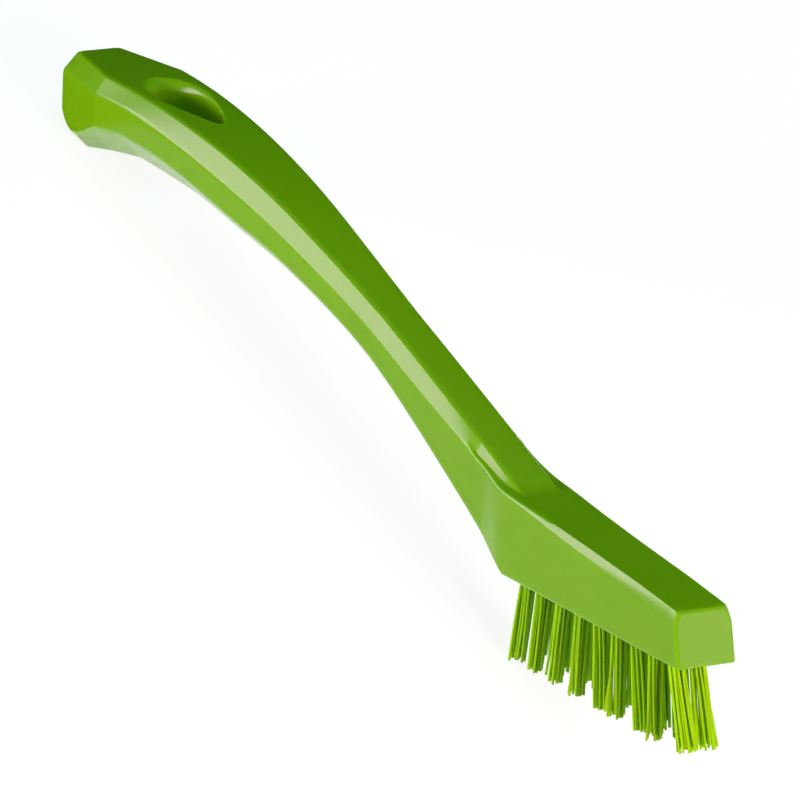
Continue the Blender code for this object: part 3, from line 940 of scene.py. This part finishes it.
class BRUSH_OT_moulding(bpy.types.Operator):
    """Build the handle and head in one moulded piece, with its hanging hole and tuft holes"""

    bl_idname = "brush.moulding"
    bl_label = "Handle and head"
    bl_options = {"REGISTER", "UNDO"}

    def execute(self, context):
        sizes = context.scene.brush_sizes
        work = bmesh.new()
        skin(work, moulding_rings(sizes))
        surface = moulded_plastic(context.scene.brush_colours)
        item = finished("moulding", work, surface, REST)
        cut(item, hole_cutter(sizes))
        cut(item, socket_cutter(sizes))
        item.data.shade_smooth()
        item.data.set_sharp_from_angle(angle=MOULDING_SHARP_ANGLE)
        weighted = item.modifiers.new("facets", "WEIGHTED_NORMAL")
        weighted.keep_sharp = True
        weighted.weight = FACET_WEIGHT
        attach(item, "root")
        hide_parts("handle_block")
        return {"FINISHED"}


def half_bundle(pitch, clear):
    """Root places of the filaments on one side of the anchor's blade, row by row."""
    places = []
    for row, count in enumerate(BUNDLE_ROWS):
        across = clear + row * pitch * ROW_NESTING
        places += [Vector(((step - (count - 1) / 2.0) * pitch, across)) for step in range(count)]
    return places


def straight_tube(steps, radius):
    """A closed straight cylinder along Z, cut into rings one unit apart."""
    work = bmesh.new()
    bmesh.ops.create_cone(
        work,
        cap_ends=True,
        segments=FILAMENT_SIDES,
        radius1=radius,
        radius2=radius,
        depth=float(steps),
    )
    upright = [edge for edge in work.edges if abs(edge.verts[0].co.z - edge.verts[1].co.z) > 0.5]
    bmesh.ops.subdivide_edges(work, edges=upright, cuts=steps - 1)
    bmesh.ops.translate(work, verts=work.verts, vec=(0.0, 0.0, steps / 2.0))
    mesh = bpy.data.meshes.new("straight_tube")
    work.to_mesh(mesh)
    work.free()
    return mesh


def bend_tube(work, straight, points):
    """Add a straight tube to a bmesh and bend it along a path of one point for each ring."""
    known = len(work.verts)
    work.from_mesh(straight)
    work.verts.ensure_lookup_table()
    last = len(points) - 1
    for vert in work.verts[known:]:
        step = int(round(vert.co.z))
        heading = (points[min(step + 1, last)] - points[max(step - 1, 0)]).normalized()
        side = Vector((1.0, 0.0, 0.0))
        side = (side - heading * side.dot(heading)).normalized()
        up = heading.cross(side)
        vert.co = points[step] + side * vert.co.x + up * vert.co.y


class BRUSH_OT_tufts(bpy.types.Operator):
    """Build the eighteen bristle tufts, every filament folded over its anchor"""

    bl_idname = "brush.tufts"
    bl_label = "Bristle tufts"
    bl_options = {"REGISTER", "UNDO"}

    def execute(self, context):
        sizes = context.scene.brush_sizes
        surface = filament_plastic(context.scene.brush_colours)
        chance = random.Random(TUFT_SEED)
        radius = sizes.filament_diameter / 2.0
        straight = straight_tube(2 * len(LEG_SHARES) + FOLD_STEPS, radius)
        roots = half_bundle(sizes.filament_diameter, radius + ANCHOR_HALF_THICKNESS)
        for name, mouth, drift, spread in tuft_rows():
            world = REST @ tuft_matrix(mouth, drift, sizes.bristle_reach)
            work = bmesh.new()
            for number, place in enumerate(roots):
                stray = STRAYS.get(name, 0.0) if number == STRAY_FILAMENT else 0.0
                legs = [
                    self.leg(sizes, chance, place, sign, spread, stray, world) for sign in (-1.0, 1.0)
                ]
                bend_tube(work, straight, legs[0][::-1] + self.fold(place) + legs[1])
            bmesh.ops.recalc_face_normals(work, faces=work.faces)
            item = finished("bristles_" + name, work, surface, world)
            item.data.shade_smooth()
            item.data.set_sharp_from_angle(angle=FILAMENT_SHARP_ANGLE)
            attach(item, "root")
            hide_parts("tuft_" + name)
        return {"FINISHED"}

    def fold(self, place):
        """Points of one filament's fold, a half circle over the anchor's top edge."""
        points = []
        for step in range(FOLD_STEPS + 1):
            turn = math.pi * step / FOLD_STEPS
            up = FOLD_UNDERSIDE - ANCHOR_HALF_THICKNESS + place.y * math.sin(turn)
            points.append(Vector((place.x, -place.y * math.cos(turn), up)))
        return points

    def leg(self, sizes, chance, place, sign, spread, stray, world):
        """Points of one leg from the hole's mouth to its tip, cut off just above the floor."""
        root = Vector((place.x, sign * place.y, 0.0))
        length = sizes.bristle_reach - sizes.tip_unevenness * chance.random() ** SHORTENING_POWER
        across = sign * (place.y - TIP_GATHER) * spread * TIP_NARROWING
        tip = Vector((place.x * spread, across, 0.0))
        tip.x += chance.uniform(-TIP_SCATTER, TIP_SCATTER) * spread
        tip.y += chance.uniform(-TIP_SCATTER, TIP_SCATTER) * spread
        if chance.random() < SPLAY_CHANCE:
            tip.x += chance.choice((-1.0, 1.0)) * SPLAY_REACH
        if sign * stray > 0.0:
            tip.y += stray
        bow = Vector((chance.uniform(-LEG_BOW, LEG_BOW), chance.uniform(-LEG_BOW, LEG_BOW), 0.0))
        points = []
        for share in LEG_SHARES:
            spot = root.lerp(tip, share) + bow * (4.0 * share * (1.0 - share))
            spot.z = -length * share
            points.append(spot)
        low = (world @ points[-1]).z
        limit = sizes.filament_diameter / 2.0 * FLOOR_GAP_SHARE
        if low < limit:
            start = (world @ points[0]).z
            end = points[0].lerp(points[-1], (start - limit) / (start - low))
            points = [points[0].lerp(end, share) for share in LEG_SHARES[:-1]] + [end]
        return points


class BRUSH_OT_anchors(bpy.types.Operator):
    """Give the anchors inside the head the finish of rolled stainless wire"""

    bl_idname = "brush.anchors"
    bl_label = "Anchors"
    bl_options = {"REGISTER", "UNDO"}

    def execute(self, context):
        surface = wire_steel(context.scene.brush_colours)
        names = [name for name in frame["nodes"] if name.startswith("anchor_")]
        if not names:
            raise RuntimeError("the solids have no anchors")
        for name in names:
            for item_slot in frame["nodes"][name].material_slots:
                item_slot.material = surface
        return {"FINISHED"}


class BRUSH_OT_stage(bpy.types.Operator):
    """Set the floor, the cards, the lamps and the camera"""

    bl_idname = "brush.stage"
    bl_label = "Stage"
    bl_options = {"REGISTER", "UNDO"}

    def execute(self, context):
        self.floor()
        self.cards()
        for name, way, size, power, colour in (
            ("key", (-0.30, -0.95, 0.04), (0.6, 0.4), 13.9, (1.0, 0.93, 0.90)),
            ("front_fill", (0.93, 0.0, 0.37), (0.3, 0.3), 9.2, (1.0, 0.83, 0.80)),
            ("back_fill", (-0.10, 0.95, 0.22), (0.6, 0.5), 2.6, (1.0, 0.95, 0.93)),
            ("overhead", (-0.10, 0.10, 1.0), (0.8, 0.8), 2.7, (0.18, 1.0, 0.7)),
        ):
            self.lamp(name, way, LAMP_DISTANCE, size, power, colour).visible_glossy = False
        colour = (1.0, 0.70, 0.92)
        for name, way, size, power in (
            ("chamfer_strip", (-0.706, -0.682, 0.191), (0.52, 0.42), 3.7),
            ("end_card", (0.752, 0.487, 0.445), (0.34, 0.34), 0.55),
        ):
            item = self.lamp(name, way, REFLECTION_DISTANCE, size, power, colour)
            item.visible_diffuse = False
        world = context.scene.world or bpy.data.worlds.new("studio")
        context.scene.world = world
        world.use_nodes = True
        background = world.node_tree.nodes["Background"]
        background.inputs["Color"].default_value = WHITE
        background.inputs["Strength"].default_value = WORLD_STRENGTH
        context.scene.view_settings.view_transform = "Standard"
        self.camera(context)
        return {"FINISHED"}

    def floor(self):
        """A pale floor that shows white to the camera and keeps the brush's shadow."""
        surface = bpy.data.materials.new("pale_floor")
        surface.use_nodes = True
        tree = surface.node_tree
        tree.nodes.clear()
        path = tree.nodes.new("ShaderNodeLightPath")
        seen = path.outputs["Is Camera Ray"]
        for kind in ("Is Glossy Ray", "Is Transmission Ray"):
            either = tree.nodes.new("ShaderNodeMath")
            either.operation = "MAXIMUM"
            tree.links.new(seen, either.inputs[0])
            tree.links.new(path.outputs[kind], either.inputs[1])
            seen = either.outputs[0]
        paper = node(tree, "ShaderNodeBsdfDiffuse", Color=(PAPER_GREY, PAPER_GREY, PAPER_GREY, 1.0))
        shown = node(tree, "ShaderNodeBsdfDiffuse", Color=(SHOWN_GREY, SHOWN_GREY, SHOWN_GREY, 1.0))
        glow = node(tree, "ShaderNodeEmission", Color=WHITE, Strength=SHOWN_GLOW)
        both = tree.nodes.new("ShaderNodeAddShader")
        tree.links.new(shown.outputs[0], both.inputs[0])
        tree.links.new(glow.outputs[0], both.inputs[1])
        mix = tree.nodes.new("ShaderNodeMixShader")
        tree.links.new(seen, mix.inputs["Fac"])
        tree.links.new(paper.outputs[0], mix.inputs[1])
        tree.links.new(both.outputs[0], mix.inputs[2])
        output = tree.nodes.new("ShaderNodeOutputMaterial")
        tree.links.new(mix.outputs[0], output.inputs["Surface"])
        work = bmesh.new()
        bmesh.ops.create_circle(work, cap_ends=True, radius=FLOOR_RADIUS, segments=64)
        item = finished("floor", work, surface)

    def cards(self):
        """Cards that only reflections see: black behind the brush and beside its tail, dim by its head.
        They paint reflections: the black ones paint the floor round the tail as shaded and put a dark
        surround over the tops, and the faint glow of the one by the head paints a dimmer floor into the
        sides.
        """
        facing = Vector(BEHIND_NORMAL).to_track_quat("Z", "Y").to_matrix().to_4x4()
        # Each card paints darker reflections: a glow of 0 paints a black reflection, and the side card's
        # small glow paints a dim floor
        for name, place, turn, size, glow in (
            ("behind_card", BEHIND_PLACE, facing, (1.2, 1.2), 0.0),
            ("tail_card", (-0.224, -0.09825, CARD_HEIGHT), Matrix(), (0.251, 0.1835), 0.0),
            ("end_floor_card", (-0.2282, 0.0585, CARD_HEIGHT), Matrix(), (0.2428, 0.13), 0.0),
            ("side_card", (0.0508, -0.1655, CARD_HEIGHT), Matrix(), (0.2986, 0.3), 0.38),
        ):
            surface, _, shader = shader_start(name)
            shader.inputs["Base Color"].default_value = (0.005, 0.005, 0.005, 1.0)
            shader.inputs["Roughness"].default_value = 1.0
            shader.inputs["Specular IOR Level"].default_value = 0.0
            shader.inputs["Emission Color"].default_value = WHITE
            shader.inputs["Emission Strength"].default_value = glow
            work = bmesh.new()
            bmesh.ops.create_grid(work, x_segments=1, y_segments=1, size=0.5)
            bmesh.ops.scale(work, vec=(*size, 1.0), verts=work.verts)
            item = finished(name, work, surface, Matrix.Translation(place) @ turn)
            item.visible_camera = False
            item.visible_diffuse = False
            item.visible_shadow = False

    def lamp(self, name, way, distance, size, power, colour):
        """An area lamp in a direction from the brush, facing it."""
        light = bpy.data.lights.new(name, "AREA")
        light.shape = "RECTANGLE"
        light.size, light.size_y = size
        light.energy = power
        light.color = colour
        item = bpy.data.objects.new(name, light)
        way = Vector(way).normalized()
        item.location = way * distance + Vector((0.0, 0.0, AIM_HEIGHT))
        item.rotation_euler = way.to_track_quat("Z", "Y").to_euler()
        bpy.context.scene.collection.objects.link(item)
        return item

    def camera(self, context):
        """The camera at the photograph's place in the brush's own drawing, carried to the floor."""
        right = Vector(CAMERA_RIGHT).normalized()
        ahead = Vector(CAMERA_AHEAD).normalized()
        up = right.cross(ahead)
        right = ahead.cross(up)
        turn = Matrix((right, up, -ahead)).transposed().to_4x4()
        lens = bpy.data.cameras.new("camera")
        lens.sensor_width = SENSOR_WIDTH
        lens.lens = FOCAL_PIXELS / PHOTO_PIXELS * SENSOR_WIDTH
        item = bpy.data.objects.new("camera", lens)
        item.matrix_world = REST @ Matrix.Translation(CAMERA_PLACE) @ turn
        context.scene.collection.objects.link(item)
        context.scene.camera = item


class BRUSH_PT_panel(bpy.types.Panel):
    """Lists the brush's pieces and its sizes and colours"""

    bl_label = "Scrub Brush"
    bl_idname = "BRUSH_PT_panel"
    bl_space_type = "VIEW_3D"
    bl_region_type = "UI"
    bl_category = "Scrub Brush"

    def draw(self, context):
        layout = self.layout
        for operator in OPERATORS:
            layout.operator(operator.bl_idname)
        for group in (context.scene.brush_sizes, context.scene.brush_colours):
            column = layout.column(align=True)
            for name in group.bl_rna.properties.keys():
                if name not in ("rna_type", "name"):
                    column.prop(group, name)


OPERATORS = (BRUSH_OT_moulding, BRUSH_OT_tufts, BRUSH_OT_anchors, BRUSH_OT_stage)
CLASSES = (BrushSizes, BrushColours, *OPERATORS, BRUSH_PT_panel)


def register():
    for item in CLASSES:
        bpy.utils.register_class(item)
    bpy.types.Scene.brush_sizes = bpy.props.PointerProperty(type=BrushSizes)
    bpy.types.Scene.brush_colours = bpy.props.PointerProperty(type=BrushColours)


def unregister():
    del bpy.types.Scene.brush_colours
    del bpy.types.Scene.brush_sizes
    for item in reversed(CLASSES):
        bpy.utils.unregister_class(item)


def main():
    register()
    bpy.ops.brush.moulding()
    bpy.ops.brush.tufts()
    bpy.ops.brush.anchors()
    bpy.ops.brush.stage()


if __name__ == "__main__":
    main()
